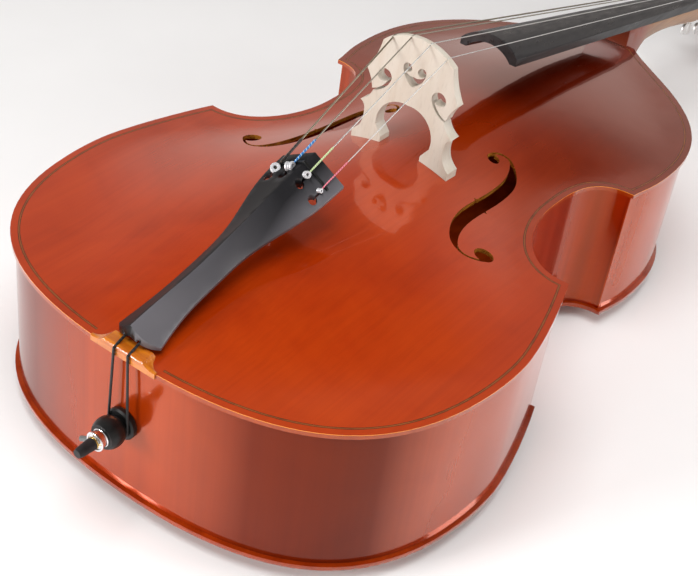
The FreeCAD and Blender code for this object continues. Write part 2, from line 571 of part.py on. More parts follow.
plug = turned([(58, 0), (58, 12.0), (OVERHANG, 14.0), (OVERHANG, 19.0), (3.5, 20.0),
               (-0.5, 20.0), (-2.6, 18.0), (-2.8, 12.5), (-6.4, 12.5), (-6.4, 0)])
ball = Part.makeSphere(BALL_R, V(0, BALL_Y, PIN_Z)).cut(
    [box(-30, 30, -6.4, 10, PIN_Z - 30, PIN_Z + 30), box(-30, 30, -60, -29.0, -150, -50)])
plug_bore = rod((0, -80, PIN_Z), (0, 400, PIN_Z), PLUG_BORE)
plug = plug.fuse(ball).cut(plug_bore)
pin_seat = turned([(59, 0), (58, 12.0), (OVERHANG, 14.0), (OVERHANG, 0)])
end_block = inside.common(box(-62, 62, 0, 48, RIB_BOTTOM, RIB_TOP)).cut([pin_seat, plug])
for name in ("lower_rib_treble", "lower_rib_bass"):
    ribs[name] = ribs[name].cut(plug)
collar = turned([(-29, 0), (-29, 11.5), (-38.8, 11.5), (-40, 10.3), (-40, 0)])
SCREW_DIR = V(-math.cos(math.radians(30)), 0, -math.sin(math.radians(30)))
SCREW_Y = -34.5


def along_screw(d):
    return (SCREW_DIR.x * d, SCREW_Y, PIN_Z + SCREW_DIR.z * d)


collar = collar.cut([plug_bore, rod(along_screw(4), along_screw(14), 2.06)])
bush = turned([(-40, 0), (-40, 7.5), (-42.2, 7.5), (-42.2, 0)]).cut(plug_bore)
thumbscrew = rod(along_screw(5.4), along_screw(15), 2.0).fuse(
    [rod(along_screw(12.2), along_screw(13.2), 2.6), rod(along_screw(14.0), along_screw(29), 3.2)])
for k in range(12):
    a = math.radians(30 * k)
    u, w = V(0, 1, 0), SCREW_DIR.cross(V(0, 1, 0))
    off = u * (3.5 * math.cos(a)) + w * (3.5 * math.sin(a))
    start, end = V(*along_screw(15.0)) + off, V(*along_screw(30)) + off
    thumbscrew = thumbscrew.cut(rod(tuple(start), tuple(end), 0.6))
pin_rod = rod((0, -46, PIN_Z), (0, 285, PIN_Z), PIN_R)
rubber_tip = turned([(-42.6, 0), (-42.6, 7.4), (-60, 6.3), (-65, 5.2), (-65, 0)]).cut(pin_rod)

# tailgut: from under the tailpiece over the saddle, down and round the plug's neck
neck_r = 12.5 + GUT_R + 0.05
gut_points = [(GUT_X, 40, gut_top + 1), (GUT_X, 5, 10 + GUT_R + 0.1), (GUT_X, -2.6, 7.5),
              (neck_r, -4.6, PIN_Z + 3)]
gut_half = cable(gut_points, GUT_R)
loop = Part.makeTorus(neck_r, GUT_R, V(0, -4.6, PIN_Z), V(0, 1, 0))
loop = loop.common(box(-30, 30, -30, 20, PIN_Z - 30, PIN_Z + 3))
tailgut = loop.fuse(both_sides(gut_half))
tailgut = tailgut.cut([saddle, plug, tailpiece])
tailgut = max(tailgut.Solids, key=lambda s: s.Volume)

# ---------------------------------------------------------------- bridge
CROWN_HALF = 52.5
CROWN_END = BRIDGE_TOP - BRIDGE_R + math.sqrt(BRIDGE_R ** 2 - CROWN_HALF ** 2)
BRIDGE_HALF = [("line", (31.5, 51)), ("line", (31, 40)), ("line", (75, 30)),
               ("line", (75.5, 44)), ("arc", (69, 50), (64.5, 57)), ("arc", (62, 68), (62.5, 78)),
               ("arc", (65, 86), (70.5, 89.5)), ("arc", (63, 95), (54.5, 109)),
               ("line", (56.5, 111.5)), ("arc", (60.5, 123), (68.5, 135)),
               ("arc", (58.5, 156), (CROWN_HALF, CROWN_END))]
# one side's kidney with its slit, then one half of the heart
KIDNEY = [("arc", (41.3, 143.7), (51, 129.5)), ("arc", (44.0, 126.0), (36, 129)),
          ("arc", (42.5, 119.5), (58, 110.6)), ("line", (56.5, 108.2)),
          ("arc", (39.5, 117.4), (32, 128))]
HEART_HALF = [("arc", (12.5, 145), (17, 155.5)), ("arc", (9.5, 149.5), (0, 148.5))]
HEART_EYE, HEART_EYE_R = (10.8, 157.5), 6.2


def half_outline(steps, start, sign):
    edges, here = [], start
    for step in steps:
        pts = [V(sign * x, 0, z) for x, z in [here] + list(step[1:])]
        if step[0] == "line":
            edges.append(Part.makeLine(*pts))
        else:
            edges.append(Part.Arc(*pts).toShape())
        here = step[-1]
    return edges


edges = []
for sign in (1, -1):
    edges += half_outline(BRIDGE_HALF, (42, 65), sign)
edges.append(Part.Arc(V(CROWN_HALF, 0, CROWN_END), V(0, 0, BRIDGE_TOP),
                      V(-CROWN_HALF, 0, CROWN_END)).toShape())
for sign in (1, -1):
    edges.append(Part.Arc(V(sign * 42, 0, 65), V(sign * 30.5, 0, 99.5), V(0, 0, 109)).toShape())
bridge_face = Part.Face(Part.Wire(Part.__sortEdges__(edges)))
bridge_face.translate(V(0, BRIDGE_Y - 20, 0))
bridge = bridge_face.extrude(V(0, 40, 0))
side_y = [(BRIDGE_Y - 14, 30), (BRIDGE_Y + 9, 30), (BRIDGE_Y + 4, 210), (BRIDGE_Y - 3, 210)]
taper = Part.Face(Part.makePolygon([V(-90, y, z) for y, z in side_y + side_y[:1]]))
bridge = bridge.common(taper.extrude(V(180, 0, 0)))
heart = Part.__sortEdges__([e for sign in (1, -1)
                            for e in half_outline(HEART_HALF, (0, 134.5), sign)])
openings = [Part.Face(Part.Wire(heart))]
openings += [Part.Face(Part.Wire(half_outline(KIDNEY, (32, 128), sign))) for sign in (1, -1)]
for face in openings:
    face.translate(V(0, 460, 0))
    bridge = bridge.cut(face.extrude(V(0, 90, 0)))
for x, z in (HEART_EYE, (-HEART_EYE[0], HEART_EYE[1])):
    bridge = bridge.cut(rod((x, 460, z), (x, 550, z), HEART_EYE_R))
bridge = bridge.cut(arched_sheet(TOP_RISE, TOP_FACE, 60.0))

# ---------------------------------------------------------------- strings
def crown(x):
    """Height of the bridge's crown."""
    return BRIDGE_TOP - BRIDGE_R + math.sqrt(BRIDGE_R ** 2 - x ** 2)


string_parts, balls, windings = {}, [], {}
for name, x_bridge, x_nut, radius, x_post in STRINGS:
    x_tail = math.copysign(12.2 if abs(x_bridge) < 20 else 32.5, x_bridge)
    post_s = {m[0]: m[2] for m in MACHINES}[name]
    over_bar = (x_tail, BAR_Y, tail_height(x_tail, BAR_Y) + BAR_H + radius)
    ball_at = (x_tail, BALL_END_Y, tail_height(x_tail, BALL_END_Y) + 1.5)
    nut_top = -33.2 - 5.8 * (x_nut / 21.8) ** 2 + radius * 0.4
    wrap_r = POST_R + radius + 0.05
    tip = HEAD.multVec(V(x_post, post_s - 2.0, POST_N + wrap_r + 2 * radius + 0.3))
    points = [ball_at, over_bar, (x_bridge, BRIDGE_Y, crown(x_bridge) + radius * 0.3),
              (x_nut, NUT_Y + 1.0, nut_top), (x_nut, NUT_Y + 9.0, nut_top - 2.4), tuple(tip)]
    string_parts["string_" + name] = cable(points, radius)
    ball = rod((x_tail - 3.0 - radius, ball_at[1], ball_at[2]),
               (x_tail + 3.0 + radius, ball_at[1], ball_at[2]), 3.0 + 2.0 * (radius - 0.5))
    balls.append(ball.cut(string_parts["string_" + name]))
    turns = 5
    pitch = 2 * radius + 0.06
    helix = Part.makeHelix(pitch, turns * pitch, wrap_r)
    circle = Part.Wire(Part.makeCircle(radius, V(wrap_r, 0, 0), V(0, 1, 0)))
    coil = Part.Wire(helix.Edges).makePipeShell([circle], True, True)
    coil.rotate(V(0, 0, 0), V(0, 1, 0), 90)
    coil.translate(V(x_post - turns * pitch / 2, post_s, POST_N))
    windings["machine_%s_winding" % name] = in_head(coil)

all_strings = list(string_parts.values())
bridge = bridge.cut(all_strings)
nut = nut.cut(all_strings)
tail_bar = tail_bar.cut(all_strings)
tailpiece = tailpiece.cut(all_strings + balls)

# ---------------------------------------------------------------- write every node
nodes = {"top_plate": top, "back_plate": back, "top_purfling": purfling_top,
         "back_purfling": purfling_back, "top_purfling_core": core_top,
         "back_purfling_core": core_back, "top_linings": lining_top,
         "back_linings": lining_back, "end_block": end_block, "neck_block": neck_block,
         "corner_blocks": Part.makeCompound(corner_blocks), "bass_bar": bass_bar,
         "sound_post": sound_post, "saddle": saddle, "neck_and_scroll": neck,
         "fingerboard": fingerboard, "nut": nut, "bridge": bridge, "tailpiece": tailpiece,
         "tailpiece_string_bar": tail_bar, "tailgut": tailgut, "endpin_plug": plug,
         "endpin_collar": collar, "endpin_bush": bush, "endpin_thumbscrew": thumbscrew,
         "endpin_rod": pin_rod, "endpin_rubber_tip": rubber_tip,
         "string_ball_ends": Part.makeCompound(balls),
         "machine_screws": Part.makeCompound(all_screws)}
for group in (ribs, machines, windings, string_parts):
    nodes.update(group)
for node, shape in nodes.items():
    shape.translate(FRAME_SHIFT)
    shape.exportStep("parts/%s.step" % node)
    bounds = shape.BoundBox
    print("%-26s valid %s solids %d  x %.1f %.1f  y %.1f %.1f  z %.1f %.1f" % (
        node, shape.isValid(), len(shape.Solids), bounds.XMin, bounds.XMax, bounds.YMin,
        bounds.YMax, bounds.ZMin, bounds.ZMax))
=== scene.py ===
import math

import bmesh
import bpy
from mathutils import Matrix, Vector


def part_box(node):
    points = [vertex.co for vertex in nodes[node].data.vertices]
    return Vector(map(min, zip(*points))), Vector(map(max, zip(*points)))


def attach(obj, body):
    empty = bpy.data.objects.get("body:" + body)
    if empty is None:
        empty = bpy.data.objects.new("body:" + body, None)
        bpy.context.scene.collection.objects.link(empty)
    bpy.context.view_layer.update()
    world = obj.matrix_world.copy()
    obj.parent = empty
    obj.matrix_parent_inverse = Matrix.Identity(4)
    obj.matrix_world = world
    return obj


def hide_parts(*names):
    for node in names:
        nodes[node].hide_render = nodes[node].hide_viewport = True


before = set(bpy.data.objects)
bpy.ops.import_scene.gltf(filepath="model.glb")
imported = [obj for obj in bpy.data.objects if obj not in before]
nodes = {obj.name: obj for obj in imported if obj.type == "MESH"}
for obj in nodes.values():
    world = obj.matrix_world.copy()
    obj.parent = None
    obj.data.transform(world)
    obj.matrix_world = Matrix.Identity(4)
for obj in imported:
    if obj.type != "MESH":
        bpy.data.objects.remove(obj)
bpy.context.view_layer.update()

# Looks of a double bass lying on its back.  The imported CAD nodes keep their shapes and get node
# materials; string silk, string ends, the endpin's sleeve and the carved scroll are added.
# Places come from the frame, in metres.  Small sizes are in millimetres, times MM.

scene = bpy.context.scene
MM = 0.001
STRINGS = "eadg"

# how far the edges of a CAD piece are rounded, in mm
EDGE_ROUNDING = {"back_plate": 1.6, "bridge": 0.7, "saddle": 0.6, "tailpiece": 0.8,
                 "fingerboard": 1.2, "tailpiece_string_bar": 0.8, "endpin_bush": 0.4,
                 "endpin_rubber_tip": 1.0, "nut": 0.6, "neck_and_scroll": 1.0}
for string_letter in STRINGS:
    EDGE_ROUNDING["machine_%s_worm_key" % string_letter] = 0.5

# the two colours of the silk at both ends of each string, and how bright its steel is
SILK = {"e": ((0.010, 0.008, 0.008), (0.045, 0.028, 0.020)),
        "a": ((0.000, 0.150, 0.450), (0.420, 0.620, 0.740)),
        "d": ((0.300, 0.480, 0.150), (0.600, 0.640, 0.440)),
        "g": ((0.500, 0.016, 0.085), (0.720, 0.260, 0.300))}
STEEL_SHADE = {"e": (0.27, 0.235, 0.17), "a": (0.33, 0.30, 0.24), "d": (0.56, 0.56, 0.54),
               "g": (0.66, 0.66, 0.65)}


# ------------------------------------------------------------------ node material helpers
class Material:
    """A node material with one Principled shader and short calls for the nodes that feed it."""

    def __init__(self, name, **settings):
        self.mat = bpy.data.materials.new(name)
        self.mat.use_nodes = True
        self.tree = self.mat.node_tree
        self.shader = self.tree.nodes["Principled BSDF"]
        for key, value in settings.items():
            self.set(key.replace("_", " "), value)
        self.place = self.node("ShaderNodeTexCoord").outputs["Object"]

    def set(self, socket, value):
        """Puts a number, a colour or another node's output on one of the shader's sockets."""
        target = self.shader.inputs[socket]
        if isinstance(value, bpy.types.NodeSocket):
            self.tree.links.new(value, target)
        else:
            target.default_value = value
        return self

    def node(self, kind, inputs=None, **props):
        """Adds a node; its inputs are numbers, colours or other nodes' outputs."""
        made = self.tree.nodes.new(kind)
        for key, value in props.items():
            setattr(made, key, value)
        for key, value in (inputs or {}).items():
            if isinstance(value, bpy.types.NodeSocket):
                self.tree.links.new(value, made.inputs[key])
            else:
                made.inputs[key].default_value = value
        return made

    def noise(self, scale, detail=3.0, rough=0.55, twist=0.0, offset=(0, 0, 0)):
        """Noise from 0 to 1 with a scale for each axis."""
        scaled = self.node("ShaderNodeMapping", {"Vector": self.place, "Scale": scale,
                                                 "Location": offset}).outputs[0]
        return self.node("ShaderNodeTexNoise", {"Vector": scaled, "Scale": 1.0,
                                                "Detail": detail, "Roughness": rough,
                                                "Distortion": twist}).outputs[0]

    def ramp(self, factor, stops):
        """Colour that runs through (place, colour) stops."""
        made = self.node("ShaderNodeValToRGB", {"Fac": factor})
        points = made.color_ramp.elements
        while len(points) < len(stops):
            points.new(0.5)
        for point, (where, colour) in zip(points, stops):
            point.position = where
            point.color = (*colour, 1.0)
        return made.outputs[0]

    def mix(self, factor, first, second):
        """Colour between two others; the mix node's colour sockets are 6, 7 and output 2."""
        made = self.node("ShaderNodeMix", {0: factor}, data_type="RGBA")
        for index, value in ((6, first), (7, second)):
            if isinstance(value, bpy.types.NodeSocket):
                self.tree.links.new(value, made.inputs[index])
            else:
                made.inputs[index].default_value = (*value, 1.0)
        return made.outputs[2]

    def math(self, operation, a, b=0.0, c=0.0):
        """Sum, product, comparison or other operation of the math node."""
        return self.node("ShaderNodeMath", {0: a, 1: b, 2: c}, operation=operation).outputs[0]

    def span(self, value, low, high, to_low=0.0, to_high=1.0):
        """Maps the stretch from low to high onto another one, and stops at its ends."""
        return self.node("ShaderNodeMapRange", {"Value": value, "From Min": low,
                                                "From Max": high, "To Min": to_low,
                                                "To Max": to_high}).outputs[0]

    def axis(self, index):
        """One coordinate of the point, in metres."""
        return self.node("ShaderNodeSeparateXYZ", {0: self.place}).outputs[index]

    def facing(self, index):
        """One part of the surface's own direction, from -1 to 1."""
        normal = self.node("ShaderNodeNewGeometry").outputs["Normal"]
        return self.node("ShaderNodeSeparateXYZ", {0: normal}).outputs[index]

    def bump(self, height, strength, distance, socket="Normal"):
        """Small relief in the shading of the surface or of its coat."""
        bumped = self.node("ShaderNodeBump", {"Height": height, "Strength": strength,
                                              "Distance": distance}).outputs[0]
        self.tree.links.new(bumped, self.shader.inputs[socket])


def drawn_out(across, along, axis):
    """Noise scale whose pattern is long in one direction."""
    scale = [across] * 3
    scale[axis] = along
    return scale


def shaded(colour, share):
    """A colour made darker or lighter."""
    return tuple(share * part for part in colour)


# ------------------------------------------------------------------ kinds of surface
def varnish(name, deep, middle, light, grain_along=1, flame=0.0, streaks=0.3, coat=1.0,
            glow=0.5):
    """Deep glossy varnish: coloured wood with clouds and grain under a clear coat.

    The wood's own reflection is tinted orange, and glow says how strong it is.  The colour is
    kept in m.colour, so that more colour and painted shade can be mixed over it.
    """
    m = Material(name, Coat_Weight=coat, Coat_Roughness=0.025, Coat_IOR=1.5, IOR=1.9)
    m.set("Specular IOR Level", glow)
    m.set("Specular Tint", (1.0, 0.20, 0.03, 1.0))
    lines = m.noise(drawn_out(230, 2.5, grain_along), 3.0, 0.6)
    bands = m.noise(drawn_out(38, 0.9, grain_along), 2.0, 0.5)
    clouds = m.noise((3.4, 3.4, 3.4), 4.0, 0.6, 0.5)
    colour = m.ramp(clouds, [(0.30, deep), (0.52, middle), (0.76, light)])
    colour = m.mix(m.span(lines, 0.40, 0.75, 0.0, streaks), colour, shaded(deep, 0.55))
    colour = m.mix(m.span(bands, 0.42, 0.75, 0.0, 0.35), colour, light)
    if flame:
        waves = m.noise((30, 30, 1.6), 2.0, 0.5, 0.6, (3, 1, 0))
        colour = m.mix(m.span(waves, 0.42, 0.68, 0.0, flame), colour, shaded(light, 1.5))
    m.colour = colour
    m.set("Base Color", colour)
    m.set("Roughness", m.span(clouds, 0.2, 0.8, 0.12, 0.20))
    m.bump(lines, 0.05, 0.0004)
    m.bump(m.noise((7, 7, 7), 2.0, 0.5), 0.03, 0.003, "Coat Normal")
    return m


def bare_wood(name, light, dark, rough=0.55, grain=(160, 4, 160), coat=0.0, fleck=0.0):
    """Wood without varnish colour, its grain drawn long in one direction."""
    m = Material(name, Coat_Weight=coat, Coat_Roughness=0.08)
    lines = m.noise(grain, 4.0, 0.6, 0.3)
    clouds = m.noise((11, 11, 11), 3.0, 0.6)
    colour = m.ramp(lines, [(0.30, dark), (0.62, light)])
    colour = m.mix(m.span(clouds, 0.3, 0.8, 0.0, 0.25), colour, dark)
    if fleck:
        dots = m.noise((380, 380, 70), 2.0, 0.5)
        colour = m.mix(m.span(dots, 0.58, 0.72, 0.0, fleck), colour, shaded(dark, 0.62))
    m.set("Base Color", colour)
    m.set("Roughness", m.span(clouds, 0.2, 0.8, rough - 0.06, rough + 0.06))
    m.bump(lines, 0.12, 0.0004)
    return m


def black(name, rough, tint, lift, streak):
    """Black stained wood or rubber with faint streaks of a lighter black."""
    m = Material(name)
    lines = m.noise(streak, 3.0, 0.6, 0.2)
    m.set("Base Color", m.ramp(lines, [(0.35, tint), (0.80, lift)]))
    m.set("Roughness", m.span(lines, 0.2, 0.8, rough - 0.05, rough + 0.09))
    m.bump(lines, 0.06, 0.0003)
    return m


def metal(name, colour, rough, wear_and_sheen, scratch=(500, 500, 40)):
    """Metal with fine scratches and slightly duller smears."""
    m = Material(name, Metallic=1.0)
    lines = m.noise(scratch, 3.0, 0.6)
    smears = m.noise((60, 60, 60), 3.0, 0.6)
    m.set("Base Color", m.mix(m.span(smears, 0.35, 0.8, 0.0, 0.35), colour, wear_and_sheen))
    m.set("Roughness", m.span(lines, 0.2, 0.8, rough * 0.7, rough * 1.6))
    m.bump(lines, 0.05, 0.0002)
    return m


# ------------------------------------------------------------------ materials of the body
def top_material():
    """Spruce top: bare edges inside the f-holes, raw wood below, a painted highlight on the rim,
    painted shade towards the neck.
    """
    m = varnish("varnished_spruce", (0.270, 0.0170, 0.0006), (0.390, 0.0290, 0.0010),
                (0.480, 0.0460, 0.0020), streaks=0.20, glow=0.9)
    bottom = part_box("top_plate")[0][1]
    across = m.math("ABSOLUTE", m.axis(0))
    along = m.axis(1)

    # the part of the top with the f-holes, which is wider over their lower eyes
    holes_start, holes_end, wide_end = bottom + 0.360, bottom + 0.650, bottom + 0.460
    half_wide, half_narrow = 0.205, 0.150
    wide_part = m.math("MULTIPLY", m.math("LESS_THAN", along, wide_end),
                       m.math("LESS_THAN", across, half_wide))
    near_hole = m.math("MAXIMUM", m.math("LESS_THAN", across, half_narrow), wide_part)
    near_hole = m.math("MULTIPLY", near_hole, m.math("GREATER_THAN", along, holes_start))
    near_hole = m.math("MULTIPLY", near_hole, m.math("LESS_THAN", along, holes_end))
    cut = m.ramp(m.noise((500, 30, 500), 3.0), [(0.35, (0.16, 0.045, 0.004)),
                                                (0.65, (0.46, 0.19, 0.025))])

    # the plate's outer wall, with a painted highlight: a bright line along its upper edge
    rim = m.ramp(m.noise((60, 60, 60), 3.0), [(0.3, (0.20, 0.018, 0.001)),
                                              (0.7, (0.30, 0.038, 0.002))])
    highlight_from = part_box("saddle")[0][2] + 5.3 * MM
    rim = m.mix(m.math("GREATER_THAN", m.axis(2), highlight_from), rim, (0.80, 0.30, 0.030))

    # painted shade: the varnish is made darker towards the neck, where less light falls on the
    # top
    neck_shade = m.span(along, bottom + 0.38, bottom + 0.80, 0.0, 0.80)
    shaded_top = m.mix(neck_shade, m.colour, (0.035, 0.0006, 0.0001))

    # a surface that faces less than this far up or down is a wall
    flattest_wall = 0.62
    upward = m.facing(2)
    is_wall = m.math("LESS_THAN", m.math("ABSOLUTE", upward), flattest_wall)
    is_underside = m.math("LESS_THAN", upward, -flattest_wall)
    colour = m.mix(is_wall, shaded_top, m.mix(near_hole, rim, cut))
    m.set("Base Color", m.mix(is_underside, colour, (0.40, 0.22, 0.09)))
    return m.mat


def back_material():
    """Flamed maple of the back."""
    return varnish("varnished_maple_back", (0.160, 0.0110, 0.0008), (0.250, 0.0220, 0.0015),
                   (0.340, 0.0420, 0.0030), flame=0.30).mat


def rib_material():
    """Maple ribs, with painted shade over the bend of the lower bout, and striped at the waist.
    """
    coat, glow = 0.6, 1.0
    m = varnish("varnished_maple_ribs", (0.170, 0.0110, 0.0003), (0.250, 0.0200, 0.0006),
                (0.330, 0.0340, 0.0012), grain_along=2, flame=0.14, streaks=0.14, coat=coat,
                glow=glow)

    # painted shade on the bend at the tail end: fades in away from the middle and out before the
    # sides
    bend_start, bend_full, bend_fades, bend_end = 0.05, 0.16, 0.27, 0.31
    tail_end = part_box("bridge")[0][1] - 0.3
    across = m.math("ABSOLUTE", m.axis(0))
    bend = m.math("MULTIPLY", m.span(across, bend_start, bend_full),
                  m.span(across, bend_end, bend_fades))
    bend = m.math("MULTIPLY", bend, m.math("LESS_THAN", m.axis(1), tail_end))
    colour_with_shade = m.mix(m.math("MULTIPLY", bend, 0.70), m.colour, (0.060, 0.004, 0.0002))

    # the waist: the length that the middle ribs take up, less a little at each end
    low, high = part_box("middle_rib_treble")
    half_waist = (high[1] - low[1]) / 2 - 3 * MM
    waist = m.math("COMPARE", m.axis(1), (low[1] + high[1]) / 2, half_waist)
    colour_with_shade = m.mix(m.math("MULTIPLY", waist, 0.60), colour_with_shade, (0.240, 0.0070, 0.0002))
    figure = m.span(m.noise((26, 26, 0.6), 2.0, 0.5, 0.3, (2, 5, 0)), 0.47, 0.60, 0.0, 0.80)
    figure = m.math("MULTIPLY", figure, waist)
    m.set("Base Color", m.mix(figure, colour_with_shade, (0.120, 0.0020, 0.0001)))
    m.set("Coat Weight", m.span(bend, 0.0, 1.0, coat, 0.25))
    m.set("Specular IOR Level", m.span(bend, 0.0, 1.0, glow, 0.15))
    return m.mat


def purfling_strip(name, light, dark):
    """A thin inlaid strip of the purfling."""
    return bare_wood(name, light, dark, 0.35, (60, 60, 60), coat=0.35).mat


def neck_material():
    """Natural maple on the grip, running into stained varnish on the heel and the head."""
    m = Material("neck_maple", Roughness=0.38, Coat_Weight=0.25, Coat_Roughness=0.08)
    m.set("Specular IOR Level", 0.3)
    heel_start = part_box("neck_and_scroll")[0][1]
    head_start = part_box("nut")[0][1]
    lines = m.noise((120, 4, 120), 4.0, 0.6, 0.4)
    natural = m.ramp(lines, [(0.3, (0.19, 0.080, 0.026)), (0.65, (0.30, 0.145, 0.052))])
    stain = m.ramp(m.noise((5, 5, 5), 3.0, 0.6, 0.4), [(0.3, (0.105, 0.009, 0.001)),
                                                       (0.7, (0.200, 0.028, 0.003))])

    # both borders of the natural wood run unevenly, by up to this much
    waver = 0.02
    along = m.math("ADD", m.axis(1), m.span(m.noise((14, 14, 14), 2.0), 0.0, 1.0, -waver, waver))
    heel = m.span(along, heel_start + 0.055, heel_start + 0.120, 1.0, 0.0)
    head = m.span(along, head_start - 0.055, head_start - 0.015)
    m.set("Base Color", m.mix(m.math("MAXIMUM", heel, head), natural, stain))
    m.bump(lines, 0.1, 0.0004)
    return m.mat


# ------------------------------------------------------------------ materials of the fittings
def bridge_material():
    """Pale maple with short brown flecks and faint growth lines."""
    return bare_wood("bridge_maple", (0.54, 0.50, 0.43), (0.50, 0.44, 0.36), 0.52, (60, 60, 6),
                     fleck=0.22).mat


def saddle_material():
    """Amber varnish over maple end grain, pitted and glossy."""
    m = bare_wood("saddle_maple", (0.60, 0.18, 0.009), (0.36, 0.070, 0.003), 0.24,
                  (14, 120, 120), coat=1.0, fleck=0.25)
    m.set("Coat Roughness", 0.05)
    m.bump(m.noise((260, 260, 260), 3.0, 0.65), 0.8, 0.0012, "Coat Normal")
    return m.mat


def fingerboard_material():
    """Black stained board, polished in long streaks by the strings and the hand."""
    m = Material("fingerboard_black")
    m.set("Specular IOR Level", 0.25)
    streak = m.noise((120, 1.6, 120), 3.0, 0.6)
    m.set("Base Color", m.ramp(streak, [(0.3, (0.006, 0.006, 0.007)),
                                        (0.75, (0.024, 0.023, 0.025))]))
    m.set("Roughness", m.span(streak, 0.3, 0.7, 0.24, 0.46))
    m.bump(m.noise((420, 6, 420), 3.0, 0.6), 0.08, 0.0003)
    return m.mat


def tailpiece_material():
    """Satin black, with a painted sheen of lighter grey on its treble slope, most near its lower
    end and its edge.
    """
    m = Material("tailpiece_black", Coat_Roughness=0.15)
    lines = m.noise((9, 1.2, 9), 3.0, 0.6, 0.2)
    low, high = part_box("tailpiece")
    # painted sheen: the slope that faces the treble side is painted lighter grey, as if light
    # fell on it
    sheen_fades, sheen_ends, sheen_from_middle = low[1] + 0.03, high[1] - 0.07, 0.012
    near_end = m.span(m.axis(1), sheen_fades, sheen_ends, 1.0, 0.06)
    near_edge = m.span(m.axis(0), sheen_from_middle, high[0])
    to_treble = m.facing(0)
    wear_and_sheen = m.math("MULTIPLY", m.span(to_treble, 0.08, 0.40),
                  m.math("MAXIMUM", near_end, near_edge))
    wear_and_sheen = m.math("MULTIPLY", wear_and_sheen, m.span(lines, 0.2, 0.9, 0.5, 1.0))
    m.set("Base Color", m.mix(wear_and_sheen, (0.006, 0.006, 0.007), (0.160, 0.154, 0.170)))
    m.set("Roughness", m.span(lines, 0.2, 0.8, 0.31, 0.45))
    m.set("Coat Weight", m.span(to_treble, 0.0, 0.3, 0.0, 0.25))
    m.set("Specular IOR Level", m.span(to_treble, -0.2, 0.2, 0.12, 0.45))
    m.bump(lines, 0.06, 0.0003)
    return m.mat


def tailgut_material():
    """Dark cable of twisted strands, which lies mostly along Y."""
    lay = 4 * MM
    m = Material("tailgut_cable", Roughness=0.6)
    wave = m.math("SINE", m.math("MULTIPLY", m.axis(1), 2 * math.pi / lay))
    fibres = m.noise((900, 900, 300), 2.0)
    shade = m.math("ADD", m.math("MULTIPLY", wave, 0.5), m.span(fibres, 0, 1, 0.1, 0.9))
    m.set("Base Color", m.ramp(shade, [(0.25, (0.006, 0.006, 0.006)),
                                       (0.75, (0.020, 0.020, 0.021))]))
    m.bump(wave, 0.5, 0.0002)
    return m.mat


# ------------------------------------------------------------------ materials of the strings
def silk(name, first, second, pitch, share):
    """Two threads laid round a string; the piece's own Z runs along it.

    share is the part of each turn that shows the second thread.
    """
    m = Material(name, Roughness=0.5, Sheen_Weight=0.3)
    angle = m.math("ARCTAN2", m.axis(1), m.axis(0))
    turn = m.math("ADD", m.math("DIVIDE", angle, 2 * math.pi),
                  m.math("DIVIDE", m.axis(2), pitch))
    stripe = m.math("FRACT", turn)
    edge = m.math("SUBTRACT", m.math("ABSOLUTE", m.math("SUBTRACT", stripe, 0.5)), share / 2)
    colour = m.mix(m.span(edge, -0.04, 0.04), second, first)
    fibres = m.noise((2500, 2500, 500), 2.0)
    m.set("Base Color", m.mix(m.span(fibres, 0.3, 0.7, 0.0, 0.25), colour, shaded(first, 0.6)))
    m.bump(m.math("PINGPONG", m.math("MULTIPLY", turn, 5.0), 0.5), 0.4, 0.0002)
    return m.mat


def string_material(letter):
    """Flat-wound steel that turns into coloured silk beyond the nut."""
    stripe_rate = 1900.0  # radians of the thread's pattern per metre
    shade = STEEL_SHADE[letter]
    first, second = SILK[letter]
    m = Material("string_%s_steel" % letter)
    turns = m.noise((250, 2600, 250), 2.0)
    past_nut = m.math("GREATER_THAN", m.axis(1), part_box("nut")[1][1] + 3 * MM)
    steel = m.mix(m.span(turns, 0.3, 0.7), shaded(shade, 0.7), shade)
    stripes = m.math("SINE", m.math("MULTIPLY", m.axis(1), stripe_rate))
    thread = m.mix(m.span(stripes, -0.3, 0.3), first, second)
    m.set("Base Color", m.mix(past_nut, steel, thread))
    m.set("Metallic", m.span(past_nut, 0.0, 1.0, 0.55, 0.0))
    m.set("Roughness", m.span(past_nut, 0.0, 1.0, 0.34, 0.60))
    m.bump(turns, 0.15, 0.0001)
    return m.mat


def silk_on_post(letter):
    """The same silk as a coil round the post, striped across the post."""
    stripe_rate = 1500.0  # radians of the thread's pattern per metre
    first, second = SILK[letter]
    m = Material("silk_post_" + letter, Roughness=0.6)
    stripes = m.math("SINE", m.math("ADD", m.math("MULTIPLY", m.axis(1), stripe_rate),
                                    m.math("MULTIPLY", m.axis(2), stripe_rate)))
    m.set("Base Color", m.mix(m.span(stripes, -0.3, 0.3), first, second))
    m.bump(m.noise((1500, 1500, 1500), 2.0), 0.2, 0.0002)
    return m.mat


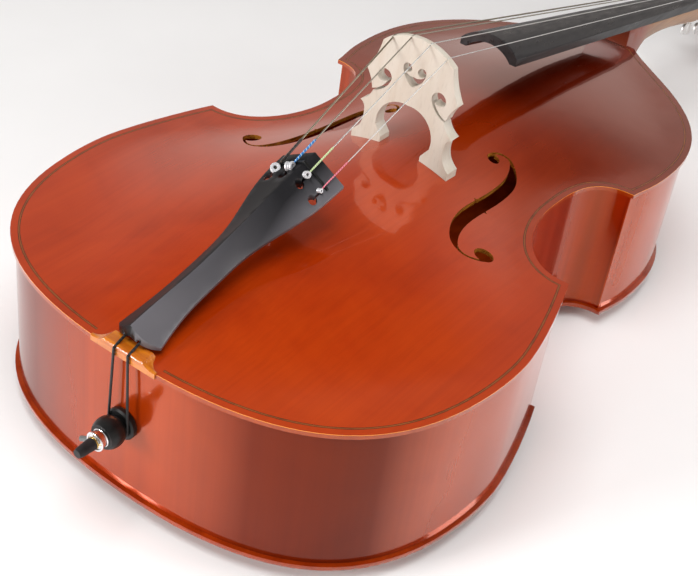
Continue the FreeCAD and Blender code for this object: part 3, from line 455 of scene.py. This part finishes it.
# ------------------------------------------------------------------ the CAD nodes' materials
def dress_nodes():
    """Gives each CAD node its material."""
    ribs = rib_material()
    spruce = bare_wood("bare_spruce", (0.52, 0.32, 0.15), (0.36, 0.20, 0.08)).mat
    dark_line = purfling_strip("purfling_dark", (0.060, 0.016, 0.006), (0.022, 0.007, 0.003))
    pale_line = purfling_strip("purfling_pale", (0.30, 0.085, 0.012), (0.20, 0.045, 0.006))
    ebony = black("turned_ebony", 0.33, (0.005, 0.005, 0.005), (0.012, 0.012, 0.012),
                  (90, 4, 90)).set("Specular IOR Level", 0.35).mat
    rubber = black("endpin_rubber", 0.6, (0.008, 0.008, 0.009), (0.020, 0.020, 0.021),
                   (300, 300, 300)).mat
    brass = metal("brass", (0.80, 0.52, 0.16), 0.20, (0.62, 0.36, 0.10)).mat
    steel = metal("steel", (0.24, 0.24, 0.24), 0.30, (0.16, 0.16, 0.16)).mat
    nickel = metal("nickel", (0.90, 0.90, 0.89), 0.34, (0.80, 0.80, 0.78)).mat
    uses = {
        "top_plate": top_material(), "back_plate": back_material(),
        "neck_and_scroll": neck_material(),
        "top_purfling": dark_line, "back_purfling": dark_line,
        "top_purfling_core": pale_line, "back_purfling_core": pale_line,
        "saddle": saddle_material(), "bridge": bridge_material(),
        "fingerboard": fingerboard_material(), "nut": ebony,
        "tailpiece": tailpiece_material(), "tailpiece_string_bar": ebony,
        "tailgut": tailgut_material(), "endpin_plug": ebony, "endpin_bush": brass,
        "endpin_thumbscrew": steel, "endpin_rod": nickel, "endpin_rubber_tip": rubber,
        "machine_screws": steel,
    }
    for zone in ("lower", "middle", "upper"):
        for hand in ("bass", "treble"):
            uses["%s_rib_%s" % (zone, hand)] = ribs
    for inner in ("top_linings", "back_linings", "end_block", "neck_block",
                  "corner_blocks", "bass_bar", "sound_post"):
        uses[inner] = spruce
    for letter in STRINGS:
        uses["string_" + letter] = string_material(letter)
        uses["machine_%s_plate" % letter] = brass
        uses["machine_%s_gear_post" % letter] = brass
        uses["machine_%s_worm_key" % letter] = nickel
        uses["machine_%s_winding" % letter] = silk_on_post(letter)
    for name, use in uses.items():
        slots = nodes[name].data.materials
        slots.clear()
        slots.append(use)


def soften(name, width):
    """Rounds a CAD piece's sharp edges with modifiers, leaving its mesh alone."""
    sharp = math.radians(35)
    piece = nodes[name]
    weld = piece.modifiers.new("weld", "WELD")
    weld.merge_threshold = 0.02 * MM
    bevel = piece.modifiers.new("bevel", "BEVEL")
    bevel.width = width
    bevel.segments = 2
    bevel.limit_method = "ANGLE"
    bevel.angle_limit = sharp
    bevel.use_clamp_overlap = True
    bevel.harden_normals = True


# ------------------------------------------------------------------ shapes of the made pieces
def finish_mesh(name, form, material, matrix):
    """Turns a bmesh into a smooth piece that rides on the body of the bass."""
    bmesh.ops.recalc_face_normals(form, faces=form.faces[:])
    mesh = bpy.data.meshes.new(name)
    form.to_mesh(mesh)
    form.free()
    for face in mesh.polygons:
        face.use_smooth = True
    mesh.materials.append(material)
    made = bpy.data.objects.new(name, mesh)
    scene.collection.objects.link(made)
    made.matrix_world = matrix
    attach(made, "bass")
    return made


def add_loops(form, loops, closed_along=False):
    """Skins a list of closed vertex loops; unless it is a ring, its two ends get a cap."""
    count = len(loops[0])
    pairs = list(zip(loops, loops[1:]))
    if closed_along:
        pairs.append((loops[-1], loops[0]))
    for lower, upper in pairs:
        for k in range(count):
            n = (k + 1) % count
            form.faces.new((lower[k], lower[n], upper[n], upper[k]))
    if not closed_along:
        form.faces.new(loops[0][::-1])
        form.faces.new(loops[-1])


def lathe(form, profile, around):
    """A ring turned about Z from closed (radius, z) points in mm."""
    loops = []
    for i in range(around):
        a = 2 * math.pi * i / around
        loops.append([form.verts.new((r * MM * math.cos(a), r * MM * math.sin(a), z * MM))
                      for r, z in profile])
    add_loops(form, loops, closed_along=True)


def rounded(corners, reach):
    """Closed profile of 2-D points with its corners rounded by a distance.

    A rounding takes at most a set share of each side next to it.
    """
    steps, most = 4, 0.45
    points = []
    for i, corner in enumerate(corners):
        c = Vector(corner)
        before, after = Vector(corners[i - 1]), Vector(corners[(i + 1) % len(corners)])
        start = c + (before - c).normalized() * min(reach, (before - c).length * most)
        end = c + (after - c).normalized() * min(reach, (after - c).length * most)
        for k in range(steps + 1):
            t = k / steps
            p = start.lerp(c, t).lerp(c.lerp(end, t), t)
            points.append((p.x, p.y))
    return points


def aimed(place, direction):
    """Matrix that puts a piece's own Z along a direction."""
    turn = Vector(direction).to_track_quat("Z", "Y").to_matrix().to_4x4()
    return Matrix.Translation(place) @ turn


# ------------------------------------------------------------------ string silk and string ends
def string_at(letter, y):
    """Centre of a string at a place along the bass, from the string's own points near it."""
    reach = 1.6 * MM
    near = [v.co for v in nodes["string_" + letter].data.vertices if abs(v.co.y - y) < reach]
    left, right = min(p.x for p in near), max(p.x for p in near)
    return Vector(((left + right) / 2, y, max(p.z for p in near) - (right - left) / 2))


def string_start(letter):
    """Centre of a string 1 mm from its end in the tailpiece."""
    low = min(v.co.y for v in nodes["string_" + letter].data.vertices)
    return string_at(letter, low + 1.0 * MM)


def winding(name, start, end, radius, material):
    """A wound tube between two points: slightly lumpy, its ends drawn in."""
    around, ring_step, least_rings = 24, 0.5 * MM, 16
    end_size, end_rings = 0.72, 4
    lump, lump_twist = 0.05, 1.4
    length = (end - start).length
    rings = max(least_rings, int(length / ring_step))
    form = bmesh.new()
    loops = []
    for i in range(rings + 1):
        z = length * i / rings
        full = min(1.0, min(i, rings - i) / end_rings)
        ring_radius = radius * (end_size + (1 - end_size) * full)
        loop = []
        for k in range(around):
            a = 2 * math.pi * k / around
            r = ring_radius * (1 + lump * math.cos(2 * a + z / radius * lump_twist))
            loop.append(form.verts.new((r * math.cos(a), r * math.sin(a), z)))
        loops.append(loop)
    add_loops(form, loops)
    finish_mesh(name, form, material, aimed(start, end - start))


def tail_silk():
    """Silk from each string's end, over the bar and some way towards the bridge."""
    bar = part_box("tailpiece_string_bar")
    bar_y = (bar[0][1] + bar[1][1]) / 2
    bridge_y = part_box("bridge")[0][1] + 14 * MM
    overlap = 0.6 * MM
    # letter: winding radius, length past the bar, thread pitch, share of the second colour
    plans = {"e": (1.75, 42.0, 5.0, 0.50), "a": (1.45, 38.0, 5.0, 0.22),
             "d": (1.10, 40.0, 3.0, 0.50), "g": (0.90, 42.0, 3.5, 0.60)}
    for letter, (radius, reach, pitch, share) in plans.items():
        first, second = SILK[letter]
        thread = silk("silk_" + letter, first, second, pitch * MM, share)
        over = string_at(letter, bar_y)
        ahead = (string_at(letter, bridge_y) - over).normalized()
        winding("silk_%s_tail" % letter, over - ahead * overlap, over + ahead * reach * MM,
                radius * MM, thread)
        winding("silk_%s_loop" % letter, string_start(letter), over, 0.95 * radius * MM, thread)


def string_ends():
    """Grooved metal spools that hold each string in its slot, with the wire round them."""
    plated = metal("string_end_metal", (0.62, 0.62, 0.64), 0.40, (0.50, 0.50, 0.52),
                   (700, 700, 200)).set("Metallic", 0.45).mat
    # letter: flange radius and half width in mm, direction of the spool's own axis
    plans = {"e": (6.2, 2.8, (0.30, -0.50, 0.81)), "a": (5.9, 4.2, (0.90, 0.10, 0.42)),
             "d": (4.7, 2.8, (0.74, -0.40, 0.54)), "g": (3.1, 2.9, (0.95, 0.0, 0.30))}
    out_of_slot = Vector((0, -1.2 * MM, 1.0 * MM))
    for letter, (flange, half, axis) in plans.items():
        form = bmesh.new()
        groove, shoulder, bore = 0.66 * flange, 0.95 * flange, 0.36 * flange
        side = [(groove, 0.30 * half), (shoulder, 0.45 * half), (flange, half), (bore, half)]
        other_side = [(r, -z) for r, z in reversed(side)]
        lathe(form, rounded(other_side + side, 0.7), 40)
        wire, wire_round = 0.26 * half, 0.72 * flange
        angles = [2 * math.pi * k / 10 for k in range(10)]
        lathe(form, [(wire_round + wire * math.cos(a), wire * math.sin(a)) for a in angles], 40)
        place = string_start(letter) + out_of_slot
        shown = finish_mesh("string_end_" + letter, form, plated, aimed(place, axis))
    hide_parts("string_ball_ends")


# ------------------------------------------------------------------ endpin sleeve
def endpin_sleeve():
    """Chromed sleeve with a rolled lip at each end, in place of the plain collar."""
    low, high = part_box("endpin_collar")
    radius = (high[0] - low[0]) / 2 / MM
    length = (high[1] - low[1]) / MM
    bore, barrel, floor_of_recess = 5.3, radius - 0.9, length - 2.8
    inner_lip = [(radius - 0.7, 0.0), (radius, 0.5), (radius, 1.5), (barrel, 2.0)]
    outer_lip = [(barrel, length - 3.4), (radius + 0.4, length - 3.0),
                 (radius + 0.7, length - 1.6), (radius + 0.3, length - 0.4),
                 (radius - 0.8, length), (radius - 1.6, length - 0.8)]
    recess = [(radius - 2.0, floor_of_recess), (bore, floor_of_recess)]
    form = bmesh.new()
    lathe(form, rounded([(bore, 0.0)] + inner_lip + outer_lip + recess, 0.5), 72)
    chrome = metal("chrome", (0.88, 0.88, 0.90), 0.06, (0.72, 0.72, 0.74)).mat
    middle = Vector(((low[0] + high[0]) / 2, high[1], (low[2] + high[2]) / 2))
    sleeve = finish_mesh("endpin_sleeve", form, chrome, aimed(middle, (0, -1, 0)))
    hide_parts("endpin_collar")


# ------------------------------------------------------------------ carved scroll
def ease(t):
    """Runs smoothly from 0 to 1, and stays there."""
    t = min(1.0, max(0.0, t))
    return t * t * (3 - 2 * t)


class Scroll:
    """Measures of the carved scroll, a spiral about an axis across the head.

    Sizes are in mm.  Places along the spiral are in turns from the outer start of the volute;
    the fluted band runs from a little before it to band_end.
    """

    start_angle = -95.0  # in degrees, from the head's own direction
    first_radius = 52.0
    shrink_rate = 0.375
    band_start, band_end = -0.10, 0.53
    volute_turns = 2.55

    def __init__(self):
        past_posts, below_posts = 96.0, 6.0
        lowest, highest = self.post_centre("e"), self.post_centre("d")
        self.along = (highest - lowest).normalized()
        self.up = Vector((1, 0, 0)).cross(self.along)
        self.centre = highest + (self.along * past_posts - self.up * below_posts) * MM

    @staticmethod
    def post_centre(letter):
        """Point of a string post's axis in the middle plane of the head."""
        low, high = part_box("machine_%s_gear_post" % letter)
        return Vector((0, (low[1] + high[1]) / 2, (low[2] + high[2]) / 2))

    def spot(self, x, radius, turns):
        """Point at a distance from the middle plane and from the spiral's axis."""
        angle = math.radians(self.start_angle) + 2 * math.pi * turns
        return self.centre + (Vector((x, 0, 0)) + self.along * radius * math.cos(angle)
                              + self.up * radius * math.sin(angle)) * MM

    def edge(self, turns):
        """Radius of the carved edge: flush with the band, then closer to the spiral."""
        spiral = self.first_radius * math.exp(-self.shrink_rate * max(turns, 0.0))
        proud = 2.2 + 6.0 * min(turns, 0.0)
        swelling = 3.3 * ease(turns / self.band_end)
        drawn_in = 5.0 * ease((turns - self.band_end) / 0.30)
        return spiral + proud + swelling - drawn_in

    def rise(self, turns):
        """Half width of the scroll, which grows with each turn towards the eye."""
        at_start, growth, taper = 26.0, 8.0, 14.0
        return at_start + (growth if turns > 0 else taper) * turns


def scroll_volute(scroll, side, hand, wood):
    """The rising turns on one side, hollowed between their edges."""
    rings, hollow_steps = 204, 6
    lip, lip_drop, hollow_depth = 2.8, 0.2, 2.6
    first_turn_foot, foot_depth = 20.0, 12.0
    form = bmesh.new()
    loops = []
    for i in range(rings + 1):
        turns = scroll.volute_turns * i / rings
        outer, inner, high = scroll.edge(turns), scroll.edge(turns + 1), scroll.rise(turns)
        foot = first_turn_foot if turns < 1 else high - foot_depth
        profile = [(outer, foot), (outer, high - 1.4), (outer - 0.5, high - 0.4),
                   (outer - 1.4, high), (outer - lip, high - lip_drop)]
        for k in range(1, hollow_steps + 1):
            t = k / hollow_steps
            sink = lip_drop + hollow_depth * math.sin(0.5 * math.pi * t)
            profile.append((outer - lip + (inner - outer + lip) * t, high - sink))
        profile.append((inner, foot))
        loops.append([form.verts.new(scroll.spot(side * x, r, turns)) for r, x in profile])
    add_loops(form, loops)
    finish_mesh("scroll_volute_" + hand, form, wood, Matrix.Identity(4))


def scroll_eye(scroll, side, hand, wood):
    """The round button in the middle of one volute, with a slightly domed face."""
    profile = [(14.6, 38.0), (14.6, 47.6), (14.0, 48.8), (12.6, 49.4), (8.0, 50.2), (0.4, 50.6),
               (0.4, 38.0)]
    form = bmesh.new()
    lathe(form, profile, 48)
    finish_mesh("scroll_eye_" + hand, form, wood, aimed(scroll.centre, (side, 0, 0)))


def scroll_band(scroll, wood):
    """The band round the outside, with two flutes side by side."""
    rings, half_steps = 80, 12
    depth, thickness, inset = 1.7, 6.0, 0.6
    length = scroll.band_end - scroll.band_start
    form = bmesh.new()
    loops = []
    for i in range(rings + 1):
        turns = scroll.band_start + length * i / rings
        outer, half = scroll.edge(turns), scroll.rise(turns) - inset
        profile = []
        for k in range(-half_steps, half_steps + 1):
            x = half * k / half_steps
            flute = depth * math.sin(math.pi * abs(x) / half) ** 2
            profile.append((outer - flute, x))
        profile += [(outer - thickness, half), (outer - thickness, -half)]
        loops.append([form.verts.new(scroll.spot(x, r, turns)) for r, x in profile])
    add_loops(form, loops)
    finish_mesh("scroll_band", form, wood, Matrix.Identity(4))


def carved_scroll():
    """Volutes, eyes and band, over the plain stepped scroll of the CAD neck."""
    scroll = Scroll()
    wood = nodes["neck_and_scroll"].data.materials[0]
    for side, hand in ((1, "treble"), (-1, "bass")):
        scroll_volute(scroll, side, hand, wood)
        scroll_eye(scroll, side, hand, wood)
    scroll_band(scroll, wood)


# ------------------------------------------------------------------ floor, light and camera
def studio_floor():
    """Pale square floor, just under the back."""
    half, gap = 9.0, 0.5 * MM
    mesh = bpy.data.meshes.new("floor")
    mesh.from_pydata([(-half, -half, 0), (half, -half, 0), (half, half, 0), (-half, half, 0)],
                     [], [(0, 1, 2, 3)])
    floor = bpy.data.objects.new("floor", mesh)
    floor.location.z = -gap
    scene.collection.objects.link(floor)
    pale = Material("floor_pale", Roughness=0.85)
    pale.set("Base Color", pale.ramp(pale.noise((3, 3, 3), 3.0),
                                     [(0.3, (0.86, 0.86, 0.86)), (0.7, (0.89, 0.89, 0.89))]))
    mesh.materials.append(pale.mat)


def studio_world():
    """Warm grey surroundings, brightest at the horizon and fading to a dark ceiling."""
    # how far up, from 0 at the horizon to 1 overhead, and how bright
    stops = [(0.0, 0.70), (0.42, 0.56), (0.57, 0.32), (0.72, 0.13), (0.88, 0.05)]
    world = bpy.data.worlds.new("studio")
    scene.world = world
    world.use_nodes = True
    tree = world.node_tree
    background = tree.nodes["Background"]
    direction = tree.nodes.new("ShaderNodeTexCoord").outputs["Generated"]
    split = tree.nodes.new("ShaderNodeSeparateXYZ")
    tree.links.new(direction, split.inputs[0])
    fade = tree.nodes.new("ShaderNodeValToRGB")
    tree.links.new(split.outputs[2], fade.inputs[0])
    points = fade.color_ramp.elements
    while len(points) < len(stops):
        points.new(0.5)
    for point, (where, grey) in zip(points, stops):
        point.position = where
        point.color = (grey, 0.91 * grey, 0.86 * grey, 1)
    tree.links.new(fade.outputs[0], background.inputs[0])
    background.inputs[1].default_value = 1.0


def area(name, place, target, size, power, mirrored=True):
    """A soft rectangular light; one that is not mirrored lights without a reflection."""
    light = bpy.data.lights.new(name, "AREA")
    light.shape = "RECTANGLE"
    light.size, light.size_y = size
    light.energy = power
    made = bpy.data.objects.new(name, light)
    made.visible_glossy = mirrored
    made.location = place
    aim = Vector(target) - Vector(place)
    made.rotation_euler = aim.to_track_quat("-Z", "Y").to_euler()
    scene.collection.objects.link(made)


def studio_lights():
    """A broad light overhead, two small ones low at the sides, a faint one inside the body."""
    area("key", (0.2, -1.2, 3.0), (0, -0.6, 0), (2.2, 2.2), 78, mirrored=False)
    area("left", (-1.5, -3.5, 1.0), (-0.2, -0.9, 0.1), (1.0, 1.0), 100)
    area("right", (2.4, 1.0, 1.0), (0.2, -0.5, 0.1), (1.2, 1.0), 40)
    low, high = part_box("sound_post")
    area("inside", (0.0, low[1], high[2] - 0.07), (0.0, low[1], 0.0), (0.25, 0.45), 0.5,
         mirrored=False)


def camera():
    """Camera at the endpin end, above the treble side."""
    place = (0.7359, -1.65028, 1.1332)
    heading, tilt, roll = (math.radians(angle) for angle in (31.4443, 53.2895, 8.6257))
    data = bpy.data.cameras.new("camera")
    data.sensor_width = 36.0
    data.lens = 68.27
    data.clip_start = 0.05
    data.clip_end = 60
    eye = bpy.data.objects.new("camera", data)
    eye.matrix_world = (Matrix.Translation(place) @ Matrix.Rotation(heading, 4, "Z")
                        @ Matrix.Rotation(tilt, 4, "X") @ Matrix.Rotation(roll, 4, "Z"))
    scene.collection.objects.link(eye)
    scene.camera = eye


dress_nodes()
for node_name, edge_width in EDGE_ROUNDING.items():
    soften(node_name, edge_width * MM)
tail_silk()
string_ends()
endpin_sleeve()
carved_scroll()
studio_floor()
studio_world()
studio_lights()
camera()
scene.view_settings.view_transform = "Standard"
